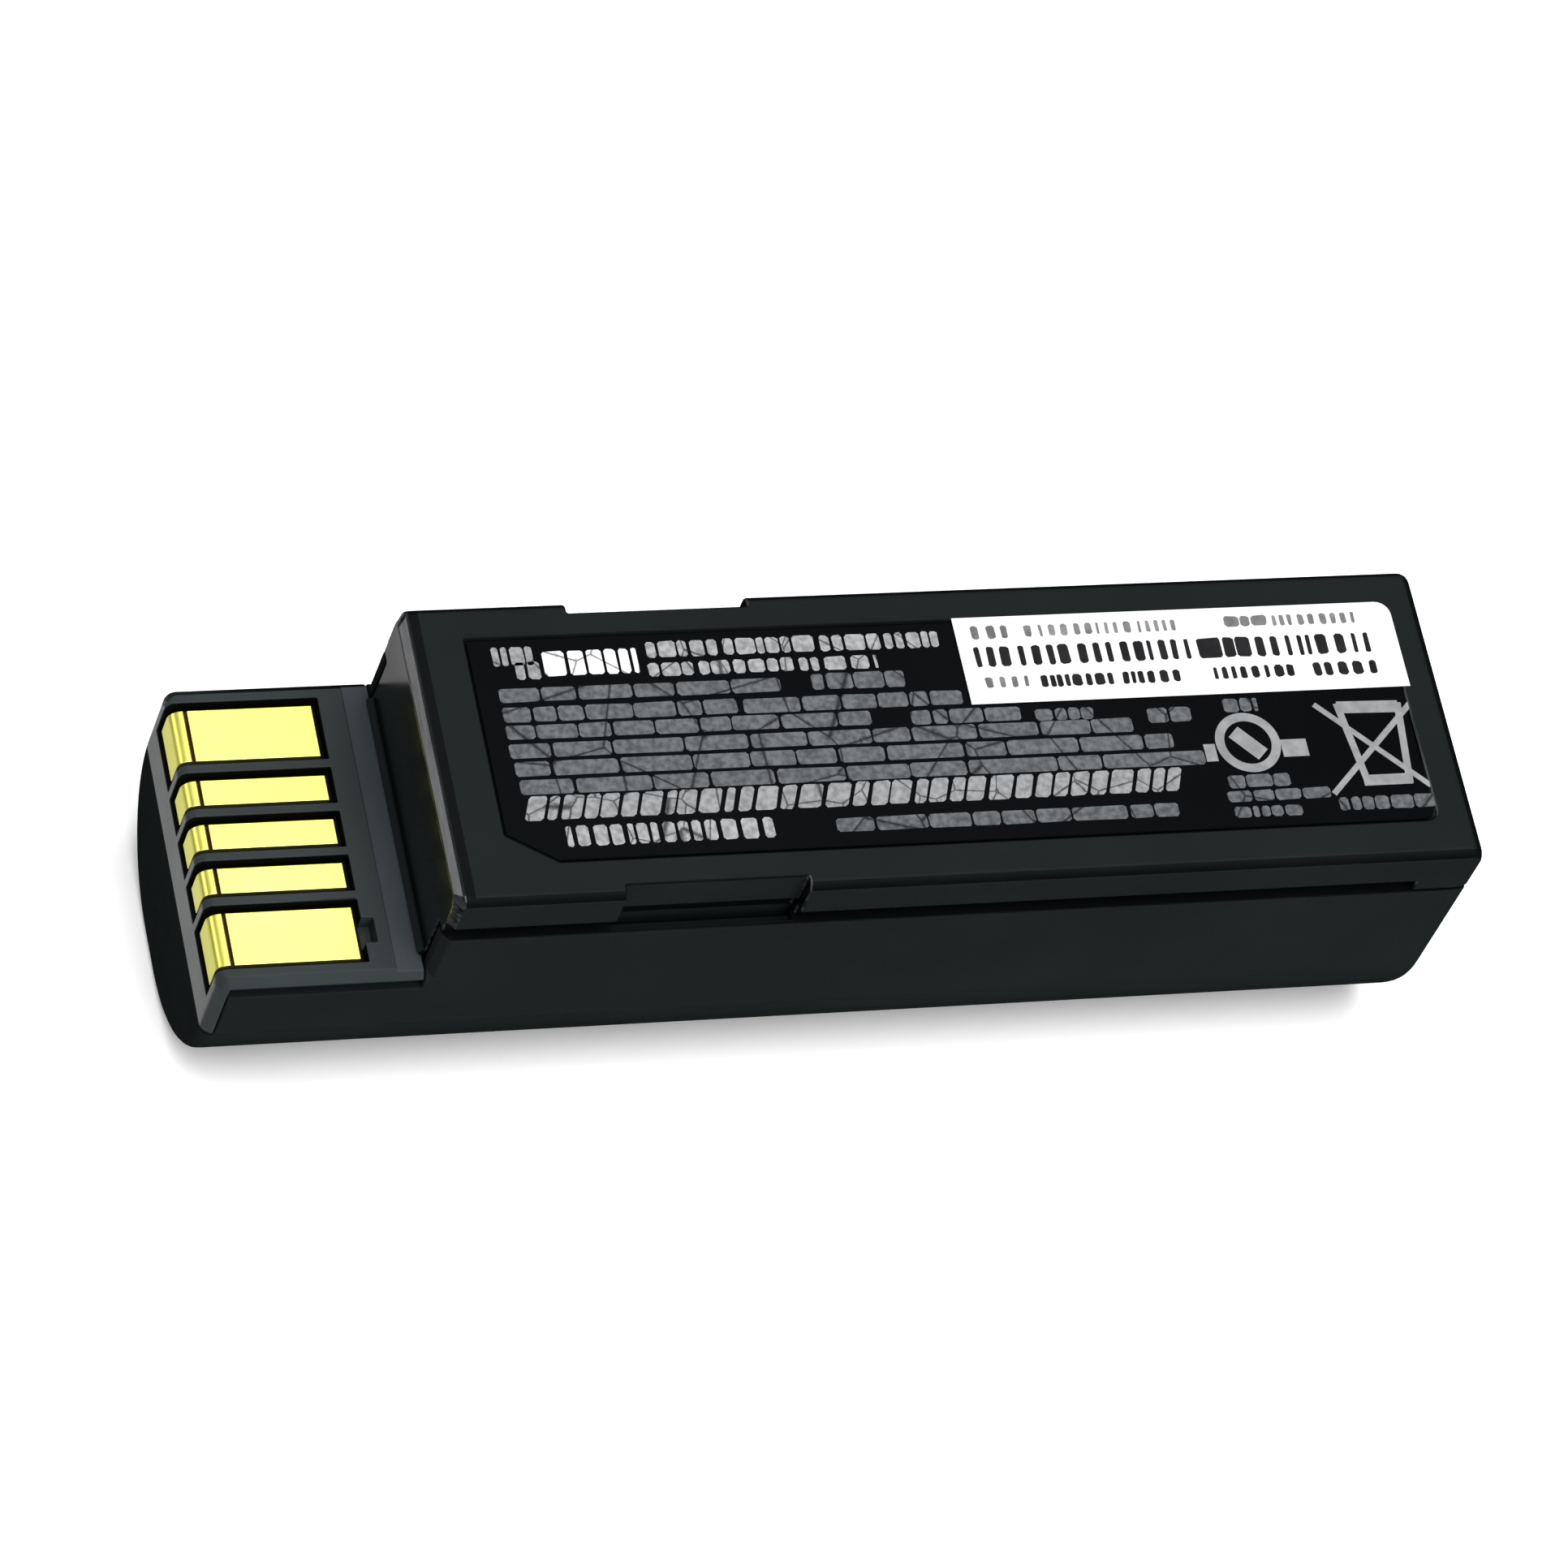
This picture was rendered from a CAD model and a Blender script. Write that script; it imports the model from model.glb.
"""A removable battery pack with a five-contact tongue, lying on a pale studio floor.

Lengths are in millimetres while a piece is made, and in metres once it is placed.
x runs along the pack with the contacts at -x, y runs across it, and z is up.
"""
import math
import random

import bmesh
import bpy
from mathutils import Matrix, Quaternion, Vector


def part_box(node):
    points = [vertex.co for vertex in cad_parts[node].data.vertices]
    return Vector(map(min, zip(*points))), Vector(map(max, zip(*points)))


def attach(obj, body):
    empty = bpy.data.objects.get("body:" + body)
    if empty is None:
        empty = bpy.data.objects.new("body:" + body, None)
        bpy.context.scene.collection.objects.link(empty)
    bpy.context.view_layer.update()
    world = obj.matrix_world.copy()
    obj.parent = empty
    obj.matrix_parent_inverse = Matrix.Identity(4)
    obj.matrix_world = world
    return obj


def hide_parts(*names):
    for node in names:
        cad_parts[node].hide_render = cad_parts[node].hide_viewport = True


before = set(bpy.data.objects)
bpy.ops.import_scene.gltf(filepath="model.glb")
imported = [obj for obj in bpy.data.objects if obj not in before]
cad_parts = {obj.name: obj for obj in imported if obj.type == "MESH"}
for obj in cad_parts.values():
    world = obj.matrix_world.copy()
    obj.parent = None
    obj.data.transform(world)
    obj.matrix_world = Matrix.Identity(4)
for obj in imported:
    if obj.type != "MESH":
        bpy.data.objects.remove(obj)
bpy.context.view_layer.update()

MM = 0.001


def span(node):
    """Lowest and highest corner of a CAD node in millimetres."""
    low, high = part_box(node)
    return Vector(low) / MM, Vector(high) / MM


# ---- sizes taken from the frame ----
HOUSING_LOW, HOUSING_HIGH = span("lower_housing")
COVER_HIGH = span("upper_cover")[1]
CARRIER_LOW, CARRIER_HIGH = span("contact_carrier")
FILM_LOW, FILM_HIGH = span("label_film")
STICKER_LOW, STICKER_HIGH = span("barcode_sticker")
CONTACTS = {f"contact_{i}": span(f"contact_{i}") for i in range(1, 6)}

LEFT = HOUSING_LOW.x
RIGHT = HOUSING_HIGH.x
HALF = HOUSING_HIGH.y
PARTING = HOUSING_HIGH.z
HEIGHT = COVER_HIGH.z
DECK_TOP = CARRIER_HIGH.z
APRON_BOTTOM = CARRIER_LOW.z

# ---- sizes of the shells ----
FAR = 60.0
CUT_MARGIN = 1.0
STEP = LEFT + 14.2
EDGE_CHAMFER = 0.6
STEP_WALL = STEP - EDGE_CHAMFER
BELLY_RADIUS = 9.4
WALL = 1.2
SEAM = 0.3
CEILING = 1.7
LEDGE_BOTTOM = 20.7
GROOVE_DEPTH = 0.6
GROOVE_END = RIGHT - 4.0
NOTCH_START = STEP + 10.6
NOTCH_END = STEP + 22.8
NOTCH_DEPTH = 0.9
NOTCH_SLOT_DEPTH = 1.35
NOTCH_SLOT_TOP = 21.0
LIP_OUTER = HALF - WALL - SEAM
LIP_THICKNESS = 0.6
LIP_BOTTOM = 17.5
LIP_OVERLAP = 0.5
LIP_START = STEP_WALL + 0.2
LIP_END = RIGHT - 4
STEP_WALL_OVERLAP = 1
STEP_FOOT = 0.5
LONG_EDGE = 0.7
RIGHT_EDGE = 1.0
RIGHT_CORNER = 0.35
ROLL = 0.75
ROLL_DROP = 0.05
POCKET_SKIN = 0.35
POCKET_DEPTH = 0.9
TONGUE_OVERLAP = 2
BELLY_STEPS = 20
EDGE_STEPS = 5

# ---- softened edges, angles in degrees ----
SHELL_EDGE = 0.12
CARRIER_EDGE = 0.08
CONTACT_EDGE = 0.06
FILM_EDGE = 0.05
STICKER_EDGE = 0.02
SHARP_ANGLE = 32
FLAT_ANGLE = 0.5
FLAT_WEIGHT = 80

# ---- sizes of the label ----
RECESS = 0.3
FILM_INSET = 0.12
LABEL_CORNER = 0.8
LABEL_CUT_X = 3.2
LABEL_CUT_Y = 2.1
STICKER_CORNER = 1.0
INK = 0.02
NICK = 0.16
UNEVEN = 0.03
LENGTH_SPREAD = (0.5, 1.6)
GAP_SPREAD = (0.6, 1.4)
RING_STEPS = 48

# Rows of printed blocks: start and end from the step, middle, height, block length, gap, slant.
GREY_ROWS = [
    (4.95, 23.8, 4.1, 1.0, 2.6), (25.95, 32.3, 4.2, 1.2, 1.4, 0.2),
    (4.9, 20.6, 2.65, 1.08, 2.2), (21.0, 35.9, 2.6, 1.08, 2.4),
    (4.9, 29.4, 1.35, 1.05, 2.4), (32.1, 39.6, 1.2, 1.05, 1.6), (40.6, 44.6, 1.0, 0.9, 0.9),
    (4.85, 47.1, 0.0, 1.05, 3.2), (4.95, 49.6, -1.35, 1.08, 3.4), (5.05, 51.5, -2.7, 1.05, 4.2),
    (25.4, 48.8, -6.5, 1.0, 2.4), (48.3, 51.3, 0.6, 1.1, 0.9),
    (52.7, 57.0, -4.65, 0.95, 1.4), (52.4, 59.6, -5.75, 0.8, 1.6), (52.6, 57.3, -6.95, 0.8, 0.8),
    (60.0, 66.7, -6.7, 1.0, 1.0), (53.7, 56.1, 1.1, 1.0, 0.9),
]
LIGHT_ROWS = [
    (4.9, 49.1, -4.25, 1.75, 1.0, 0.24, 0.35), (5.0, 7.7, 7.0, 1.4, 0.8), (6.4, 8.0, 5.9, 1.3, 0.8),
]
BRIGHT_ROWS = [(8.3, 14.6, 6.35, 1.85, 1.0, 0.2)]
PALE_ROWS = [
    (15.3, 20.1, 7.1, 1.2, 0.9), (20.5, 26.7, 7.1, 1.2, 0.9),
    (27.1, 31.2, 7.05, 1.2, 0.9), (31.5, 35.2, 7.05, 1.2, 0.6, 0.2),
    (15.2, 18.2, 5.6, 1.0, 1.4), (18.6, 25.0, 5.6, 1.0, 0.8, 0.2), (25.4, 30.7, 5.55, 1.0, 1.0, 0.3),
    (7.4, 21.2, -6.4, 1.5, 0.75, 0.3),
]
BAR_ROWS = [
    (37.4, 52.3, 5.45, 1.5, 0.5, 0.45), (52.9, 56.6, 5.45, 1.5, 1.3, 0.15),
    (57.0, 65.0, 5.4, 1.5, 0.5, 0.45),
    (41.5, 46.5, 3.45, 0.9, 0.45, 0.2), (47.2, 51.2, 3.45, 0.9, 0.45, 0.3),
    (53.6, 59.4, 3.5, 0.9, 0.4, 0.3), (60.6, 65.1, 3.5, 1.0, 0.45, 0.4),
]
FAINT_ROWS = [
    (37.5, 40.0, 7.3, 1.0, 0.4, 0.5), (41.2, 52.2, 7.3, 0.85, 0.3, 0.4), (37.7, 40.8, 3.5, 0.8, 0.3, 0.4),
    (55.2, 58.2, 7.4, 0.8, 0.9, 0.15), (58.6, 64.4, 7.35, 0.8, 0.3, 0.35),
]
RING_CENTRE = (54.75, -1.75)
RING_OUTER = 2.25
RING_INNER = 1.62
RING_TABS = [((57.0, -2.3), (58.8, -2.3), 1.3), ((51.6, -2.4), (52.4, -2.4), 1.3),
             ((53.9, -0.9), (55.6, -2.7), 1.1)]
CROSSED_BOX = [((61.6, 0.6), (65.9, 0.5), 0.9), ((61.6, 0.9), (62.4, -5.3), 0.5),
               ((65.9, 0.8), (65.3, -5.3), 0.5), ((62.1, -5.0), (65.5, -5.0), 0.8),
               ((60.0, 0.9), (66.7, -5.6), 0.4), ((66.8, 0.7), (59.8, -5.9), 0.4)]

# ---- sizes of the contact tongue ----
TONGUE_END = 0.8
TONGUE_EDGE = 0.6
DECK_BOTTOM = 13.4
BOND = 0.1
APRON_THICKNESS = 1.6
DECK_GROOVE_TOP = 14.4
DECK_GROOVE_DEPTH = 0.5
CONTACT_THICKNESS = 0.45
CONTACT_TOP = CONTACTS["contact_1"][1].z
CONTACT_RIGHT = CONTACTS["contact_1"][1].x
BEND_RADIUS = 0.85
TAIL_FACE = LEFT + 0.15
TAIL_BOTTOM = 12.3
SLOT_BOTTOM = 11.7
SLOT_DEPTH = 0.75
SLOT_CLEARANCE = 0.4
FLOOR_GAP = 0.2
BEND_STEPS = 8
NEAR = 0.02
CREASE = (0.1, 0.22, 0.24)
FOOT_STRIP = 1.9
FOOT_DROP = 0.17
SIGHT_HOLE = (STEP - 4.25, STEP - 3.4, -8.4, -6.6)
SIGHT_HOLE_DEPTH = 1

# ---- looks of the frame's own pieces, inside the shells ----
INSIDE = {
    "circuit_board": "solder mask", "fuel_gauge_chip": "chip", "switch_transistor": "chip",
    "protection_chip": "chip", "memory_chip": "chip", "sense_resistor": "chip",
    "board_fuse": "ceramic", "capacitor_1": "ceramic", "capacitor_2": "ceramic",
    "temperature_sensor": "polymer", "cell_can": "steel", "cell_sleeve": "sleeve",
    "electrode_roll": "electrode", "roll_base_insulator": "polymer", "roll_top_insulator": "polymer",
    "vent_disc": "steel", "cell_gasket": "polymer", "cell_cap": "steel", "cap_washer": "fibre paper",
    "positive_strip": "nickel", "negative_strip": "nickel", "strip_insulator": "fibre paper",
    "top_foam_pad": "foam", "end_foam_pad": "foam",
}

# ---- camera ----
CAMERA_AIM = Vector((-0.524, 3.544, 12.0))
CAMERA_DISTANCE = 539.05
CAMERA_AZIMUTH = -33.713
CAMERA_ELEVATION = 55.324
CAMERA_ROLL = 26.145
CAMERA_LENS = 188.6
SENSOR = 36.0

# ---- studio, in metres ----
FLOOR_SIZE = 3.0
BOUNCE_PLACE = (-0.058, 0.02, 0.001)
WORLD_STRENGTH = 0.02


def direction(azimuth, elevation):
    """Unit vector from the pack towards a place in the studio, angles in degrees."""
    a, e = math.radians(azimuth), math.radians(elevation)
    return Vector((math.sin(a) * math.cos(e), -math.cos(a) * math.cos(e), math.sin(e)))


def make_camera():
    data = bpy.data.cameras.new("camera")
    data.lens = CAMERA_LENS
    data.sensor_width = SENSOR
    data.clip_start = 0.01
    data.clip_end = 10
    camera = bpy.data.objects.new("camera", data)
    bpy.context.scene.collection.objects.link(camera)
    back = direction(CAMERA_AZIMUTH, CAMERA_ELEVATION)
    camera.location = (CAMERA_AIM + back * CAMERA_DISTANCE) * MM
    camera.rotation_mode = "QUATERNION"
    roll = Quaternion((0, 0, 1), math.radians(CAMERA_ROLL))
    camera.rotation_quaternion = (-back).to_track_quat("-Z", "Y") @ roll
    bpy.context.scene.camera = camera


# ---- solids ----

def link(name, mesh):
    """Turns a bmesh into an object in the scene."""
    bmesh.ops.recalc_face_normals(mesh, faces=mesh.faces)
    data = bpy.data.meshes.new(name)
    mesh.to_mesh(data)
    mesh.free()
    piece = bpy.data.objects.new(name, data)
    bpy.context.scene.collection.objects.link(piece)
    return piece


def add_skin(mesh, rings):
    """Adds a closed skin through equally long rings of points, capped at both ends."""
    rows = [[mesh.verts.new(point) for point in ring] for ring in rings]
    for row, following in zip(rows, rows[1:]):
        for i in range(len(row)):
            j = (i + 1) % len(row)
            mesh.faces.new((row[i], row[j], following[j], following[i]))
    mesh.faces.new(list(reversed(rows[0])))
    mesh.faces.new(rows[-1])


def lift(outline, axis, depth):
    """Points of a flat outline, set at a depth along the axis that it is square to."""
    return [(*point[:axis], depth, *point[axis:]) for point in outline]


def add_prism(mesh, outline, axis, low, high):
    add_skin(mesh, [lift(outline, axis, low), lift(outline, axis, high)])


def skin(name, rings):
    mesh = bmesh.new()
    add_skin(mesh, rings)
    return link(name, mesh)


def prism(outline, axis, low, high, name="prism"):
    return skin(name, [lift(outline, axis, low), lift(outline, axis, high)])


def rectangle(x0, x1, y0, y1):
    return [(x0, y0), (x1, y0), (x1, y1), (x0, y1)]


def block(x0, x1, y0, y1, z0, z1):
    return prism(rectangle(x0, x1, y0, y1), 2, z0, z1)


def arc(centre, radius, start, end, steps):
    """Points on an arc, angles in degrees."""
    points = []
    for i in range(steps + 1):
        angle = math.radians(start + (end - start) * i / steps)
        points.append((centre[0] + radius * math.cos(angle), centre[1] + radius * math.sin(angle)))
    return points


def combine(piece, others, operation):
    """Joins other solids to a piece, or cuts them out of it, and removes them."""
    for other in others:
        modifier = piece.modifiers.new("combine", "BOOLEAN")
        modifier.object = other
        modifier.operation = operation
        modifier.solver = "MANIFOLD"
    apply_modifiers(piece)
    for other in others:
        data = other.data
        bpy.data.objects.remove(other)
        bpy.data.meshes.remove(data)
    return piece


def cut(piece, others):
    return combine(piece, others, "DIFFERENCE")


def join(piece, others):
    return combine(piece, others, "UNION")


def apply_modifiers(piece):
    """Makes the piece's modifiers part of its mesh."""
    bpy.context.view_layer.update()
    graph = bpy.context.evaluated_depsgraph_get()
    before = piece.data
    after = bpy.data.meshes.new_from_object(piece.evaluated_get(graph), depsgraph=graph)
    piece.modifiers.clear()
    piece.data = after
    bpy.data.meshes.remove(before)


def ease_edges(piece, width):
    """Gives sharp edges the small radius of a moulding, and shades the flats flat."""
    bevel = piece.modifiers.new("bevel", "BEVEL")
    bevel.width = width
    bevel.segments = 2
    bevel.limit_method = "ANGLE"
    bevel.angle_limit = math.radians(SHARP_ANGLE)
    bevel.use_clamp_overlap = False
    bevel.miter_outer = "MITER_ARC"
    for polygon in piece.data.polygons:
        polygon.use_smooth = True
    apply_modifiers(piece)
    weigh = piece.modifiers.new("weigh", "WEIGHTED_NORMAL")
    weigh.keep_sharp = False
    weigh.weight = FLAT_WEIGHT
    apply_modifiers(piece)


def place(piece, name, nodes, material):
    """Names a finished piece, sets it in metres, and says what it stands for."""
    piece.name = name
    piece.data.name = name
    piece.data.transform(Matrix.Scale(MM, 4))
    piece.data.materials.clear()
    piece.data.materials.append(material)
    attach(piece, "root")
    if nodes:
        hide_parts(*nodes)
    return piece


# ---- the shells' common body ----

def section(inset, top, edge, edge_steps):
    """The pack's U-shaped outline in y and z, inset from full size, with eased top edges."""
    half = HALF - inset
    centre = HALF - BELLY_RADIUS
    radius = BELLY_RADIUS - inset
    return [
        *arc((centre, BELLY_RADIUS), radius, -90, 0, BELLY_STEPS),
        *arc((half - edge, top - edge), edge, 0, 90, edge_steps),
        *arc((-half + edge, top - edge), edge, 90, 180, edge_steps),
        *arc((-centre, BELLY_RADIUS), radius, 180, 270, BELLY_STEPS),
    ]


def rounded_end(x, top_size, side_size, inward):
    """Stations (x, side inset, top inset) that round an end off."""
    stations = []
    for i in range(EDGE_STEPS + 1):
        angle = math.radians(90 * i / EDGE_STEPS)
        reach = inward * top_size * (1 - math.cos(angle))
        left_over = 1 - math.sin(angle)
        stations.append((x + reach, side_size * left_over, top_size * left_over))
    return stations


def body(stations, top, edge, edge_steps):
    """A length of the pack: the U section through stations along x."""
    rings = []
    for x, side_inset, top_inset in stations:
        rings.append(lift(section(side_inset, top - top_inset, edge, edge_steps), 0, x))
    return skin("body", rings)


def block_body():
    """The tall part of the pack, with a flat chamfer over the step that rolls into the top."""
    stations = [
        (STEP_WALL, EDGE_CHAMFER, EDGE_CHAMFER),
        (STEP - ROLL_DROP, 0, ROLL_DROP),
        (STEP - ROLL_DROP + ROLL / 2, 0, ROLL_DROP / 4),
        (STEP - ROLL_DROP + ROLL, 0, 0),
        *reversed(rounded_end(RIGHT, RIGHT_EDGE, RIGHT_CORNER, -1)),
    ]
    return body(stations, HEIGHT, LONG_EDGE, EDGE_STEPS)


def tongue_body(right):
    """The low part of the pack, under the contacts."""
    stations = [*rounded_end(LEFT, TONGUE_END, TONGUE_END, 1), (right, 0, 0)]
    return body(stations, DECK_TOP, TONGUE_EDGE, 1)


# ---- lower housing ----

def latch_pocket(side):
    """Slot in the housing's rim behind its outer skin, below the finger notch."""
    y0, y1 = sorted((side * (HALF - POCKET_SKIN), side * LIP_OUTER))
    return block(NOTCH_START, NOTCH_END, y0, y1, PARTING - POCKET_DEPTH, FAR)


def merge_flats(piece):
    """Takes out the lines that a join leaves across flat faces."""
    mesh = bmesh.new()
    mesh.from_mesh(piece.data)
    bmesh.ops.dissolve_limit(mesh, angle_limit=math.radians(FLAT_ANGLE),
                             verts=mesh.verts, edges=mesh.edges)
    mesh.to_mesh(piece.data)
    mesh.free()
    return piece


def make_housing():
    whole = merge_flats(join(block_body(), [tongue_body(STEP + TONGUE_OVERLAP)]))
    hollow = [lift(section(WALL, FAR, WALL, 1), 0, x) for x in (LEFT + WALL, RIGHT - WALL)]
    return cut(whole, [
        block(-FAR, FAR, -FAR, FAR, PARTING, FAR),
        block(-FAR, STEP_WALL, -FAR, FAR, DECK_BOTTOM - BOND, FAR),
        block(-FAR, LEFT + TONGUE_END + BOND, -FAR, FAR, APRON_BOTTOM - BOND, FAR),
        skin("hollow", hollow),
        latch_pocket(1),
        latch_pocket(-1),
    ])


# ---- upper cover ----

def side_cuts(side):
    """Groove over the seam and finger notch with an undercut in one long side."""
    def band(depth):
        return sorted((side * (HALF - depth), side * FAR))
    return [
        block(STEP_WALL - CUT_MARGIN, GROOVE_END, *band(GROOVE_DEPTH), 0, LEDGE_BOTTOM),
        block(NOTCH_START, NOTCH_END, *band(NOTCH_DEPTH), 0, FAR),
        block(NOTCH_START, NOTCH_END, *band(NOTCH_SLOT_DEPTH), 0, NOTCH_SLOT_TOP),
    ]


def plug_lip(side):
    """Rib of the cover that plugs in behind the housing's wall."""
    y0, y1 = sorted((side * LIP_OUTER, side * (LIP_OUTER - LIP_THICKNESS)))
    return block(LIP_START, LIP_END, y0, y1, LIP_BOTTOM, LEDGE_BOTTOM + LIP_OVERLAP)


def step_wall():
    """The upright wall between the contact deck and the top face, with its curved foot."""
    bottom = DECK_TOP + BOND
    top = HEIGHT - STEP_WALL_OVERLAP
    profile = [
        (STEP_WALL + WALL, bottom), (STEP_WALL + WALL, top), (STEP_WALL, top),
        *arc((STEP_WALL - STEP_FOOT, bottom + STEP_FOOT), STEP_FOOT, 0, -90, EDGE_STEPS),
    ]
    return prism(profile, 1, -LIP_OUTER, LIP_OUTER)


def label_outline(inset):
    """The label's field: rounded on the right, one large slanted corner at the front left."""
    left, right = FILM_LOW.x - FILM_INSET + inset, FILM_HIGH.x + FILM_INSET - inset
    front, back = FILM_LOW.y - FILM_INSET + inset, FILM_HIGH.y + FILM_INSET - inset
    corner = LABEL_CORNER
    return [
        (left, front + LABEL_CUT_Y), (left + LABEL_CUT_X, front),
        *arc((right - corner, front + corner), corner, -90, 0, EDGE_STEPS),
        *arc((right - corner, back - corner), corner, 0, 90, EDGE_STEPS),
        (left, back),
    ]


def make_cover():
    inner = LIP_OUTER - LIP_THICKNESS
    lid = cut(block_body(), [
        block(-FAR, FAR, -FAR, FAR, -FAR, PARTING + SEAM),
        block(STEP_WALL + WALL, RIGHT - WALL, -inner, inner, 0, HEIGHT - CEILING),
        *side_cuts(1),
        *side_cuts(-1),
    ])
    join(lid, [step_wall(), plug_lip(1), plug_lip(-1)])
    return cut(lid, [prism(label_outline(0), 2, HEIGHT - RECESS, FAR)])


def paint(piece, materials, choose):
    """Gives each face one of the materials: choose(centre in mm, normal) returns its index."""
    for material in materials:
        piece.data.materials.append(material)
    for polygon in piece.data.polygons:
        polygon.material_index = choose(polygon.center / MM, polygon.normal)


def cover_finish(centre, normal):
    """0 for satin faces, 1 for the polished chamfer, 2 for worn dark edges, 3 for the step wall."""
    if normal.x < -0.3 and centre.z > DECK_TOP + STEP_FOOT:
        return 3 if normal.x < -0.95 else 1
    in_groove = LIP_OUTER < abs(centre.y) < HALF - GROOVE_DEPTH / 2 and centre.z < LEDGE_BOTTOM
    rolled = centre.x < STEP + ROLL and centre.z > HEIGHT - ROLL_DROP
    long_edge = 0.2 < abs(normal.y) < 0.95 and normal.z > 0.2
    right_edge = normal.x > 0.2 and normal.z > 0.2
    return 2 if in_groove or rolled or long_edge or right_edge else 0


def housing_finish(centre, normal):
    """0 for satin faces, 1 for the rim's dark top, which shows as skin below the notches."""
    rim = normal.z > 0.5 and centre.z > PARTING - 0.2
    return 1 if rim and not NOTCH_START < centre.x < NOTCH_END else 0


def in_channel(point):
    """Whether a point of the carrier lies on the walls or the floor of a contact's channel."""
    reach = SLOT_CLEARANCE + NEAR
    if not LEFT + NEAR < point.x < CONTACT_RIGHT + reach:
        return False
    if not SLOT_BOTTOM - NEAR < point.z < DECK_TOP - CARRIER_EDGE - NEAR:
        return False
    return any(low.y - reach < point.y < high.y + reach for low, high in CONTACTS.values())


def carrier_finish(centre, normal):
    """0 for satin faces, 1 for the end face, 2 for dark edges and channels, 3 for the wall's foot."""
    if in_channel(centre):
        return 2
    if normal.x < -0.97 and centre.x < LEFT + 0.1:
        return 1
    if normal.z > 0.9 and centre.x > STEP_WALL - FOOT_STRIP and centre.z > DECK_TOP - 2 * FOOT_DROP:
        return 3
    return 2 if normal.y > 0.3 and centre.y > HALF - 1 else 0


# ---- contact carrier and contacts ----

def contact_channels():
    """Cuts for the five contacts: a trough in the deck and a slot down the end face."""
    floor = CONTACT_TOP - CONTACT_THICKNESS - FLOOR_GAP
    channels = []
    for low, high in CONTACTS.values():
        y0, y1 = low.y - SLOT_CLEARANCE, high.y + SLOT_CLEARANCE
        channels.append(block(LEFT - CUT_MARGIN, CONTACT_RIGHT + SLOT_CLEARANCE, y0, y1, floor, FAR))
        channels.append(block(LEFT - CUT_MARGIN, LEFT + SLOT_DEPTH, y0, y1, SLOT_BOTTOM, FAR))
    return channels


def make_carrier():
    end = LEFT + TONGUE_END
    left, right, front, back = SIGHT_HOLE
    carrier = cut(tongue_body(STEP_WALL - BOND), [
        block(-FAR, FAR, -FAR, FAR, -CUT_MARGIN, APRON_BOTTOM),
        block(LEFT + APRON_THICKNESS, FAR, -FAR, FAR, -CUT_MARGIN, DECK_BOTTOM),
        block(end, FAR, LIP_OUTER, FAR, -CUT_MARGIN, DECK_BOTTOM),
        block(end, FAR, -FAR, -LIP_OUTER, -CUT_MARGIN, DECK_BOTTOM),
        block(end, FAR, HALF - DECK_GROOVE_DEPTH, FAR, 0, DECK_GROOVE_TOP),
        block(end, FAR, -FAR, -HALF + DECK_GROOVE_DEPTH, 0, DECK_GROOVE_TOP),
        block(left, right, front, back, CONTACT_TOP - SIGHT_HOLE_DEPTH, FAR),
        block(STEP_WALL - FOOT_STRIP, FAR, -FAR, FAR, DECK_TOP - FOOT_DROP, FAR),
    ])
    return cut(carrier, contact_channels())


def make_contact(y0, y1):
    """Bent strip with its pad on the deck, a crease at the bend, and its tail down the end face."""
    top = CONTACT_TOP
    under = top - CONTACT_THICKNESS
    inner = BEND_RADIUS - CONTACT_THICKNESS
    bend = (TAIL_FACE + BEND_RADIUS, top - BEND_RADIUS)
    crease, width, depth = CREASE
    start = bend[0] + crease
    profile = [
        (CONTACT_RIGHT, under), (CONTACT_RIGHT, top),
        (start + width, top), (start + width / 2, top - depth), (start, top),
        *arc(bend, BEND_RADIUS, 90, 180, BEND_STEPS),
        (TAIL_FACE, TAIL_BOTTOM), (TAIL_FACE + CONTACT_THICKNESS, TAIL_BOTTOM),
        *arc(bend, inner, 180, 90, BEND_STEPS),
    ]
    strip = prism(profile, 1, y0, y1)
    ease_edges(strip, CONTACT_EDGE)
    return strip


# ---- label, print and sticker ----

def contact_finish(centre, normal):
    """0 for the plating, 1 for the tarnished crease."""
    start = TAIL_FACE + BEND_RADIUS + CREASE[0]
    in_crease = start < centre.x < start + CREASE[1] and centre.z > CONTACT_TOP - CREASE[2]
    return 1 if in_crease and abs(normal.x) > 0.5 else 0


def make_film():
    z0, z1 = FILM_LOW.z, FILM_HIGH.z
    stages = [(FILM_INSET, z0), (FILM_INSET, z1 - FILM_EDGE), (FILM_INSET + FILM_EDGE, z1)]
    return skin("film", [lift(label_outline(inset), 2, z) for inset, z in stages])


def block_outline(x0, x1, y0, y1, slant, dice):
    """One printed block: a slightly uneven parallelogram with nicked corners."""
    nick = min(NICK, (x1 - x0) / 4)
    corners = [(x0 + nick, y0), (x1 - nick, y0), (x1, y0 + nick), (x1, y1 - nick),
               (x1 - nick, y1), (x0 + nick, y1), (x0, y1 - nick), (x0, y0 + nick)]
    uneven = []
    for x, y in corners:
        lean = slant * (y - y0)
        uneven.append((STEP + x + lean + dice.uniform(-UNEVEN, UNEVEN),
                       y + dice.uniform(-UNEVEN, UNEVEN)))
    return uneven


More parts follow.
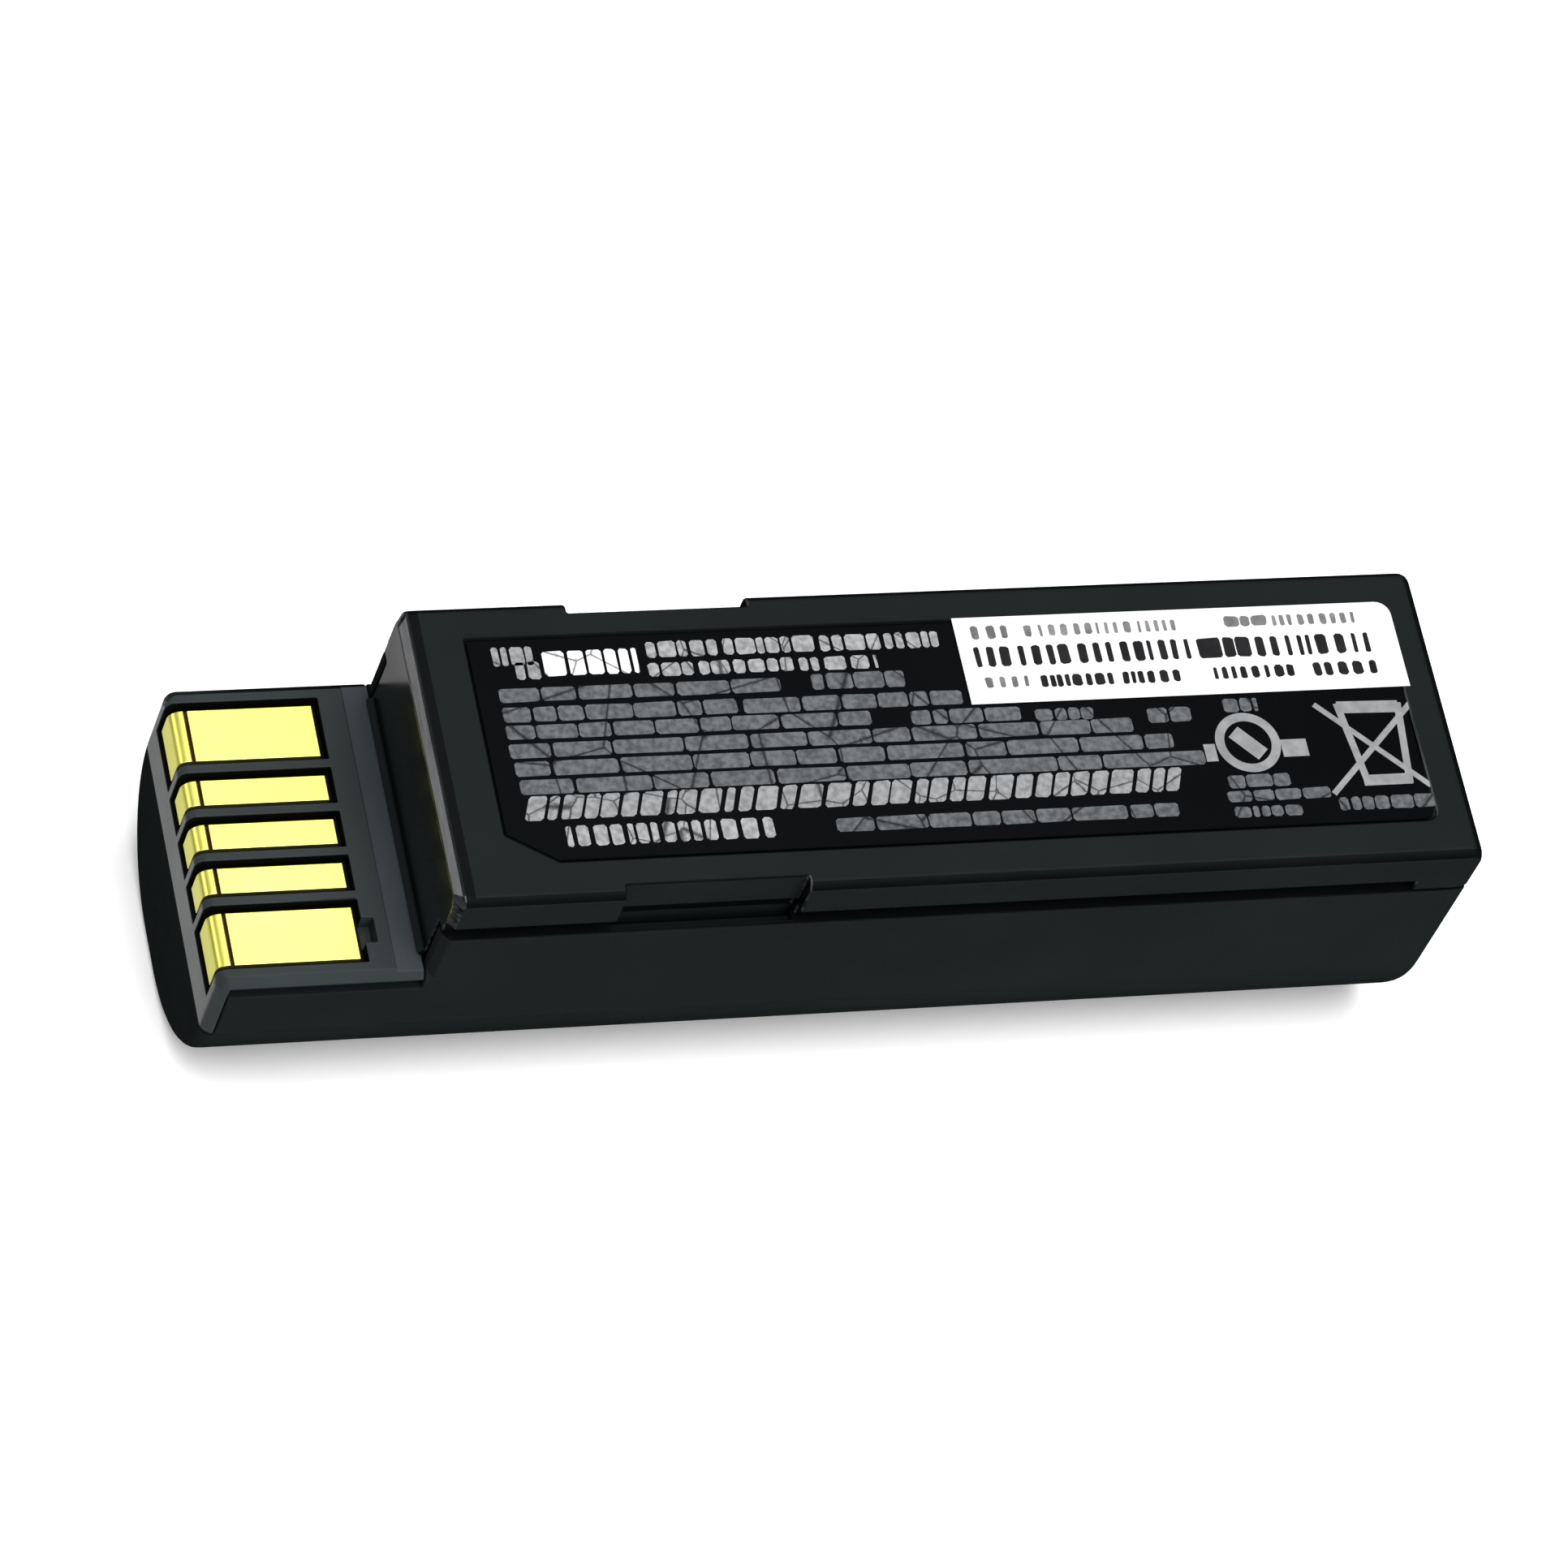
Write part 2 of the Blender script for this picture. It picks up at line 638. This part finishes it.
def add_row(mesh, dice, z, start, end, middle, height, length, gap=0.16, slant=0.0):
    """Fills a stretch of a line with printed blocks of uneven length."""
    x = start
    while x < end:
        right = x + length * dice.uniform(*LENGTH_SPREAD)
        if end - right < length / 2:
            right = end
        y0, y1 = middle - height / 2, middle + height / 2
        add_prism(mesh, block_outline(x, right, y0, y1, slant, dice), 2, z, z + INK)
        x = right + gap * dice.uniform(*GAP_SPREAD)


def print_rows(name, rows, z):
    """A piece of print made of rows of blocks, uneven in a way set by its name."""
    dice = random.Random(name)
    mesh = bmesh.new()
    for row in rows:
        add_row(mesh, dice, z, *row)
    return link(name, mesh)


def stroke(start, end, width):
    """Outline of a straight printed line between two points."""
    a, b = Vector(start), Vector(end)
    side = (b - a).orthogonal().normalized() * width / 2
    return [(STEP + x, y) for x, y in (a + side, a - side, b - side, b + side)]


def ring(centre, outer, inner, z):
    """A printed ring: a flat band closed on itself."""
    outside = arc(centre, outer, 0, 360, RING_STEPS)[:-1]
    inside = arc(centre, inner, 0, 360, RING_STEPS)[:-1]
    mesh = bmesh.new()
    loops = []
    for (cx, cy), (dx, dy) in zip(outside, inside):
        row = [(cx, cy, z), (cx, cy, z + INK), (dx, dy, z + INK), (dx, dy, z)]
        loops.append([mesh.verts.new(point) for point in row])
    for i, row in enumerate(loops):
        following = loops[(i + 1) % len(loops)]
        for j in range(4):
            k = (j + 1) % 4
            mesh.faces.new((row[j], row[k], following[k], following[j]))
    return link("ring", mesh)


def make_marks():
    """Generic marks at the right of the label: a tabbed ring and a crossed box."""
    z = FILM_HIGH.z
    lines = [stroke(*line) for line in CROSSED_BOX + RING_TABS]
    strokes = [prism(line, 2, z, z + INK) for line in lines]
    x, y = RING_CENTRE
    return join(ring((STEP + x, y), RING_OUTER, RING_INNER, z), strokes)


def make_sticker():
    """Paper sticker with slightly softened edges."""
    (x0, y0, z0), (x1, y1, z1) = STICKER_LOW, STICKER_HIGH
    z1 -= INK
    edge = STICKER_EDGE
    stages = []
    for inset, z in ((edge, z0), (0, z0 + edge), (0, z1 - edge), (edge, z1)):
        left, right, front, back = x0 + inset, x1 - inset, y0 + inset, y1 - inset
        corner = arc((right - STICKER_CORNER, back - STICKER_CORNER), STICKER_CORNER, 0, 90, EDGE_STEPS)
        stages.append(lift([(left, front), (right, front), *corner, (left, back)], 2, z))
    return skin("sticker", stages)


# ---- materials ----

def new_material(name, **sockets):
    """A Principled material with the given constants on its own sockets."""
    material = bpy.data.materials.new(name)
    material.use_nodes = True
    shader = material.node_tree.nodes["Principled BSDF"]
    for socket, value in sockets.items():
        shader.inputs[socket.replace("_", " ")].default_value = value
    return material, shader


def noise(material, scale, detail=3.0, stretch=(1, 1, 1), kind="Noise"):
    """Noise over the object's own space, scale in features per metre."""
    nodes, links = material.node_tree.nodes, material.node_tree.links
    place_in = nodes.new("ShaderNodeTexCoord")
    mapping = nodes.new("ShaderNodeMapping")
    mapping.inputs["Scale"].default_value = stretch
    texture = nodes.new("ShaderNodeTexNoise" if kind == "Noise" else "ShaderNodeTexVoronoi")
    if kind == "Cracks":
        texture.feature = "DISTANCE_TO_EDGE"
    texture.inputs["Scale"].default_value = scale
    if "Detail" in texture.inputs:
        texture.inputs["Detail"].default_value = detail
    links.new(place_in.outputs["Object"], mapping.inputs["Vector"])
    links.new(mapping.outputs["Vector"], texture.inputs["Vector"])
    return texture.outputs[0 if kind == "Noise" else "Distance"]


def ramp(material, value, stops):
    """Colours blended along a value: stops are (position, colour)."""
    node = material.node_tree.nodes.new("ShaderNodeValToRGB")
    elements = node.color_ramp.elements
    while len(elements) < len(stops):
        elements.new(0.5)
    for element, (position, colour) in zip(elements, stops):
        element.position = position
        element.color = (*colour, 1)
    material.node_tree.links.new(value, node.inputs["Fac"])
    return node.outputs["Color"]


def spread(material, value, low, high):
    """Rescales a 0 to 1 value to low to high."""
    node = material.node_tree.nodes.new("ShaderNodeMapRange")
    node.inputs["From Min"].default_value = 0.3
    node.inputs["From Max"].default_value = 0.7
    node.inputs["To Min"].default_value = low
    node.inputs["To Max"].default_value = high
    material.node_tree.links.new(value, node.inputs["Value"])
    return node.outputs["Result"]


def bump(material, shader, height, distance, strength=1.0):
    node = material.node_tree.nodes.new("ShaderNodeBump")
    node.inputs["Strength"].default_value = strength
    node.inputs["Distance"].default_value = distance
    material.node_tree.links.new(height, node.inputs["Height"])
    material.node_tree.links.new(node.outputs["Normal"], shader.inputs["Normal"])


def grained(name, dark, light, patch=60, rough=(0.4, 0.5), grain=6000, depth=2e-6, kind="Noise",
            stretch=(1, 1, 1), **sockets):
    """A surface with patches of two close colours, uneven gloss and a fine grain."""
    material, shader = new_material(name, **sockets)
    links = material.node_tree.links
    patches = noise(material, patch, 4.0, stretch)
    links.new(ramp(material, patches, [(0.35, dark), (0.65, light)]), shader.inputs["Base Color"])
    gloss = noise(material, patch * 3, 5.0, stretch)
    links.new(spread(material, gloss, *rough), shader.inputs["Roughness"])
    bump(material, shader, noise(material, grain, 2.0, stretch, kind), depth)
    return material


def crack(material, scale):
    """Darkens a surface's colour along fine cracks, scale in cells per metre."""
    nodes, links = material.node_tree.nodes, material.node_tree.links
    colour = nodes["Principled BSDF"].inputs["Base Color"]
    before = colour.links[0].from_socket
    lines = ramp(material, noise(material, scale, kind="Cracks"),
                 [(0.004, (0.2, 0.2, 0.2)), (0.018, (1, 1, 1))])
    blend = nodes.new("ShaderNodeMix")
    blend.data_type = "RGBA"
    blend.blend_type = "MULTIPLY"
    blend.inputs["Factor"].default_value = 1
    links.new(before, blend.inputs["A"])
    links.new(lines, blend.inputs["B"])
    links.new(blend.outputs["Result"], colour)
    return material


def make_materials():
    return {
        "shell": grained("satin shell", (0.0075, 0.0095, 0.0098), (0.0090, 0.0115, 0.0118),
                         Specular_IOR_Level=0.03),
        "polish": grained("polished shell", (0.0003, 0.0004, 0.0006), (0.028, 0.031, 0.034), patch=1100,
                          rough=(0.1, 0.24), stretch=(2, 0.16, 2), Specular_IOR_Level=0.4),
        "wall": grained("step wall", (0.0003, 0.0004, 0.0006), (0.0005, 0.0006, 0.0009),
                        rough=(0.16, 0.22), Specular_IOR_Level=0.3),
        "edge": grained("worn edge", (0.0016, 0.0019, 0.0022), (0.0022, 0.0026, 0.0029),
                        rough=(0.5, 0.6), Specular_IOR_Level=0.05),
        "carrier": grained("carrier plastic", (0.020, 0.025, 0.0258), (0.025, 0.031, 0.0318),
                           Specular_IOR_Level=0.08),
        "foot": grained("wall foot", (0.032, 0.041, 0.044), (0.040, 0.050, 0.054),
                        Specular_IOR_Level=0.08),
        "carrier polish": grained("polished carrier", (0.020, 0.0245, 0.0235), (0.026, 0.031, 0.030),
                                  rough=(0.2, 0.3), Specular_IOR_Level=0.28),
        "gold": grained("gold plating", (0.93, 0.89, 0.17), (0.98, 0.95, 0.21), rough=(0.34, 0.42),
                        Metallic=1.0),
        "tarnish": grained("tarnished crease", (0.03, 0.012, 0.004), (0.06, 0.025, 0.008), patch=900,
                           rough=(0.4, 0.5), Specular_IOR_Level=0.1),
        "film": grained("label film", (0.0010, 0.0012, 0.0016), (0.0014, 0.0017, 0.0022),
                        rough=(0.25, 0.32), Specular_IOR_Level=0.02),
        "ink": crack(grained("grey ink", (0.054, 0.058, 0.062), (0.112, 0.119, 0.125), patch=2400,
                             rough=(0.5, 0.6), Specular_IOR_Level=0.1), 190),
        "light ink": crack(grained("light ink", (0.155, 0.16, 0.165), (0.26, 0.267, 0.27), patch=2400,
                                   rough=(0.5, 0.6), Specular_IOR_Level=0.1), 300),
        "mark ink": grained("mark ink", (0.18, 0.185, 0.19), (0.24, 0.247, 0.25), patch=1200,
                            rough=(0.5, 0.6), Specular_IOR_Level=0.1),
        "pale ink": crack(grained("pale ink", (0.18, 0.185, 0.19), (0.32, 0.325, 0.33), patch=2400,
                                  rough=(0.5, 0.6), Specular_IOR_Level=0.1), 300),
        "bright ink": crack(grained("bright ink", (0.56, 0.565, 0.56), (0.68, 0.685, 0.68), patch=1800,
                                    rough=(0.5, 0.6), Specular_IOR_Level=0.1), 300),
        "paper": grained("sticker paper", (0.64, 0.64, 0.64), (0.68, 0.68, 0.68), patch=300,
                         rough=(0.5, 0.6), Specular_IOR_Level=0.2),
        "black ink": grained("sticker ink", (0.006, 0.006, 0.007), (0.012, 0.012, 0.013), patch=600,
                             rough=(0.5, 0.6), Specular_IOR_Level=0.1),
        "solder mask": grained("solder mask", (0.004, 0.05, 0.02), (0.008, 0.09, 0.035), patch=700,
                               rough=(0.3, 0.45)),
        "chip": grained("chip", (0.006, 0.006, 0.006), (0.012, 0.012, 0.012), patch=900,
                        rough=(0.5, 0.65)),
        "ceramic": grained("ceramic", (0.34, 0.24, 0.13), (0.42, 0.31, 0.18), patch=900,
                           rough=(0.5, 0.65)),
        "polymer": grained("polymer", (0.52, 0.55, 0.57), (0.6, 0.63, 0.65), rough=(0.4, 0.55)),
        "steel": grained("steel", (0.48, 0.49, 0.5), (0.58, 0.59, 0.6), rough=(0.28, 0.4),
                         stretch=(1, 12, 12), Metallic=1.0),
        "nickel": grained("nickel", (0.52, 0.5, 0.46), (0.62, 0.6, 0.55), rough=(0.25, 0.4),
                          stretch=(12, 1, 1), Metallic=1.0),
        "sleeve": grained("sleeve", (0.02, 0.1, 0.38), (0.03, 0.13, 0.45), rough=(0.3, 0.4)),
        "electrode": grained("electrode", (0.05, 0.03, 0.02), (0.12, 0.07, 0.04), patch=500,
                             rough=(0.6, 0.8), stretch=(20, 1, 1)),
        "fibre paper": grained("fibre paper", (0.6, 0.55, 0.42), (0.72, 0.68, 0.55), patch=800,
                               rough=(0.8, 0.95), depth=1e-5),
        "foam": grained("foam", (0.02, 0.02, 0.022), (0.05, 0.05, 0.054), patch=1500,
                        rough=(0.9, 1.0), grain=2500, depth=1e-4, kind="Voronoi"),
        "faint ink": grained("faint ink", (0.10, 0.10, 0.10), (0.2, 0.2, 0.2), patch=600,
                             rough=(0.5, 0.6), Specular_IOR_Level=0.1),
    }


# ---- studio ----

def area_light(name, azimuth, elevation, distance, size, strength):
    """A soft rectangular light that faces the pack; distance and size in metres."""
    data = bpy.data.lights.new(name, "AREA")
    data.shape = "RECTANGLE"
    data.size, data.size_y = size
    data.energy = strength
    light = bpy.data.objects.new(name, data)
    bpy.context.scene.collection.objects.link(light)
    out = direction(azimuth, elevation)
    light.location = out * distance
    light.rotation_mode = "QUATERNION"
    light.rotation_quaternion = (-out).to_track_quat("-Z", "Y")
    return light


def make_studio():
    mesh = bmesh.new()
    bmesh.ops.create_grid(mesh, x_segments=8, y_segments=8, size=FLOOR_SIZE)
    floor = link("floor", mesh)
    floor.data.materials.append(grained("floor", (0.95, 0.95, 0.95), (0.97, 0.97, 0.97), patch=3,
                                        rough=(0.8, 0.9), grain=400, depth=1e-5))
    floor.visible_glossy = False
    area_light("overhead", azimuth=10, elevation=80, distance=1.2, size=(1.6, 1.6), strength=30)
    area_light("back right", azimuth=154, elevation=58, distance=0.34, size=(0.13, 0.2), strength=0.1)
    area_light("left back", azimuth=-120, elevation=19, distance=0.7, size=(0.3, 0.16), strength=0.6)
    tight = area_light("floor light", azimuth=20, elevation=86, distance=1.2, size=(0.85, 0.85),
                       strength=6.4)
    light_only(tight, "floor receivers", [floor])
    make_world()
    return floor


def light_only(light, name, receivers):
    """Keeps a light off everything but the receivers."""
    linked = bpy.data.collections.new(name)
    for piece in receivers:
        linked.objects.link(piece)
    light.light_linking.receiver_collection = linked


def make_front(receivers):
    """A low soft light on the long front side, most of it kept off the floor."""
    for name, strength in (("front", 3.4), ("front fill", 5.4)):
        front = area_light(name, azimuth=21, elevation=28, distance=1.0, size=(0.9, 0.5),
                           strength=strength)
        front.visible_glossy = False
        if name == "front fill":
            light_only(front, "front receivers", receivers)


def make_bounce(receivers):
    """The floor's glow in the polished faces at the contact end, for these pieces only."""
    bounce = area_light("bounce", azimuth=0, elevation=0, distance=0, size=(0.05, 0.07),
                        strength=0.0075)
    bounce.location = BOUNCE_PLACE
    bounce.rotation_quaternion = Vector((0, 0, 1)).to_track_quat("-Z", "Y")
    bounce.visible_diffuse = False
    light_only(bounce, "bounce receivers", receivers)


def make_world():
    world = bpy.data.worlds.new("studio")
    world.use_nodes = True
    background = world.node_tree.nodes["Background"]
    background.inputs["Color"].default_value = (1, 1, 1, 1)
    background.inputs["Strength"].default_value = WORLD_STRENGTH
    bpy.context.scene.world = world
    bpy.context.scene.view_settings.view_transform = "Standard"


# ---- the whole scene ----

def add_shells(materials):
    """The housing, the cover and the carrier; returns the two that mirror the floor's glow."""
    housing = make_housing()
    ease_edges(housing, SHELL_EDGE)
    place(housing, "housing_shell", ["lower_housing"], materials["shell"])
    paint(housing, [materials["edge"]], housing_finish)

    cover = make_cover()
    ease_edges(cover, SHELL_EDGE)
    place(cover, "cover_shell", ["upper_cover"], materials["shell"])
    paint(cover, [materials["polish"], materials["edge"], materials["wall"]], cover_finish)

    carrier = make_carrier()
    ease_edges(carrier, CARRIER_EDGE)
    place(carrier, "carrier_body", ["contact_carrier"], materials["carrier"])
    paint(carrier, [materials["carrier polish"], materials["edge"], materials["foot"]], carrier_finish)
    return [cover, carrier]


def add_contacts(materials):
    """The five contact strips."""
    contacts = []
    for node, (low, high) in CONTACTS.items():
        contact = make_contact(low.y, high.y)
        place(contact, f"{node}_strip", [node], materials["gold"])
        paint(contact, [materials["tarnish"]], contact_finish)
        contacts.append(contact)
    return contacts


def add_label(materials):
    """The label film, the sticker and the print on both."""
    place(make_film(), "printed_film", ["label_film"], materials["film"])
    label_top = FILM_HIGH.z
    sticker_top = STICKER_HIGH.z - INK
    for name, rows, z, slot, ink in (
        ("print_grey", GREY_ROWS, label_top, "label", "ink"),
        ("print_light", LIGHT_ROWS, label_top, "label", "light ink"),
        ("print_pale", PALE_ROWS, label_top, "label", "pale ink"),
        ("print_bright", BRIGHT_ROWS, label_top, "label", "bright ink"),
        ("sticker_bars", BAR_ROWS, sticker_top, "sticker", "black ink"),
        ("sticker_dashes", FAINT_ROWS, sticker_top, "sticker", "faint ink"),
    ):
        place(print_rows(name, rows, z), name, [], materials[ink])
    place(make_marks(), "print_marks", [], materials["mark ink"])
    place(make_sticker(), "paper_sticker", ["barcode_sticker"], materials["paper"])


def finish_inside(materials):
    """Gives the frame's own pieces their materials."""
    for node, look in INSIDE.items():
        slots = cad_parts[node].data.materials
        slots.clear()
        slots.append(materials[look])


make_camera()
floor = make_studio()
materials = make_materials()
bright_pieces = add_shells(materials) + add_contacts(materials)
add_label(materials)
finish_inside(materials)
make_front([piece for piece in bpy.context.scene.objects if piece.type == "MESH" and piece != floor])
make_bounce(bright_pieces)
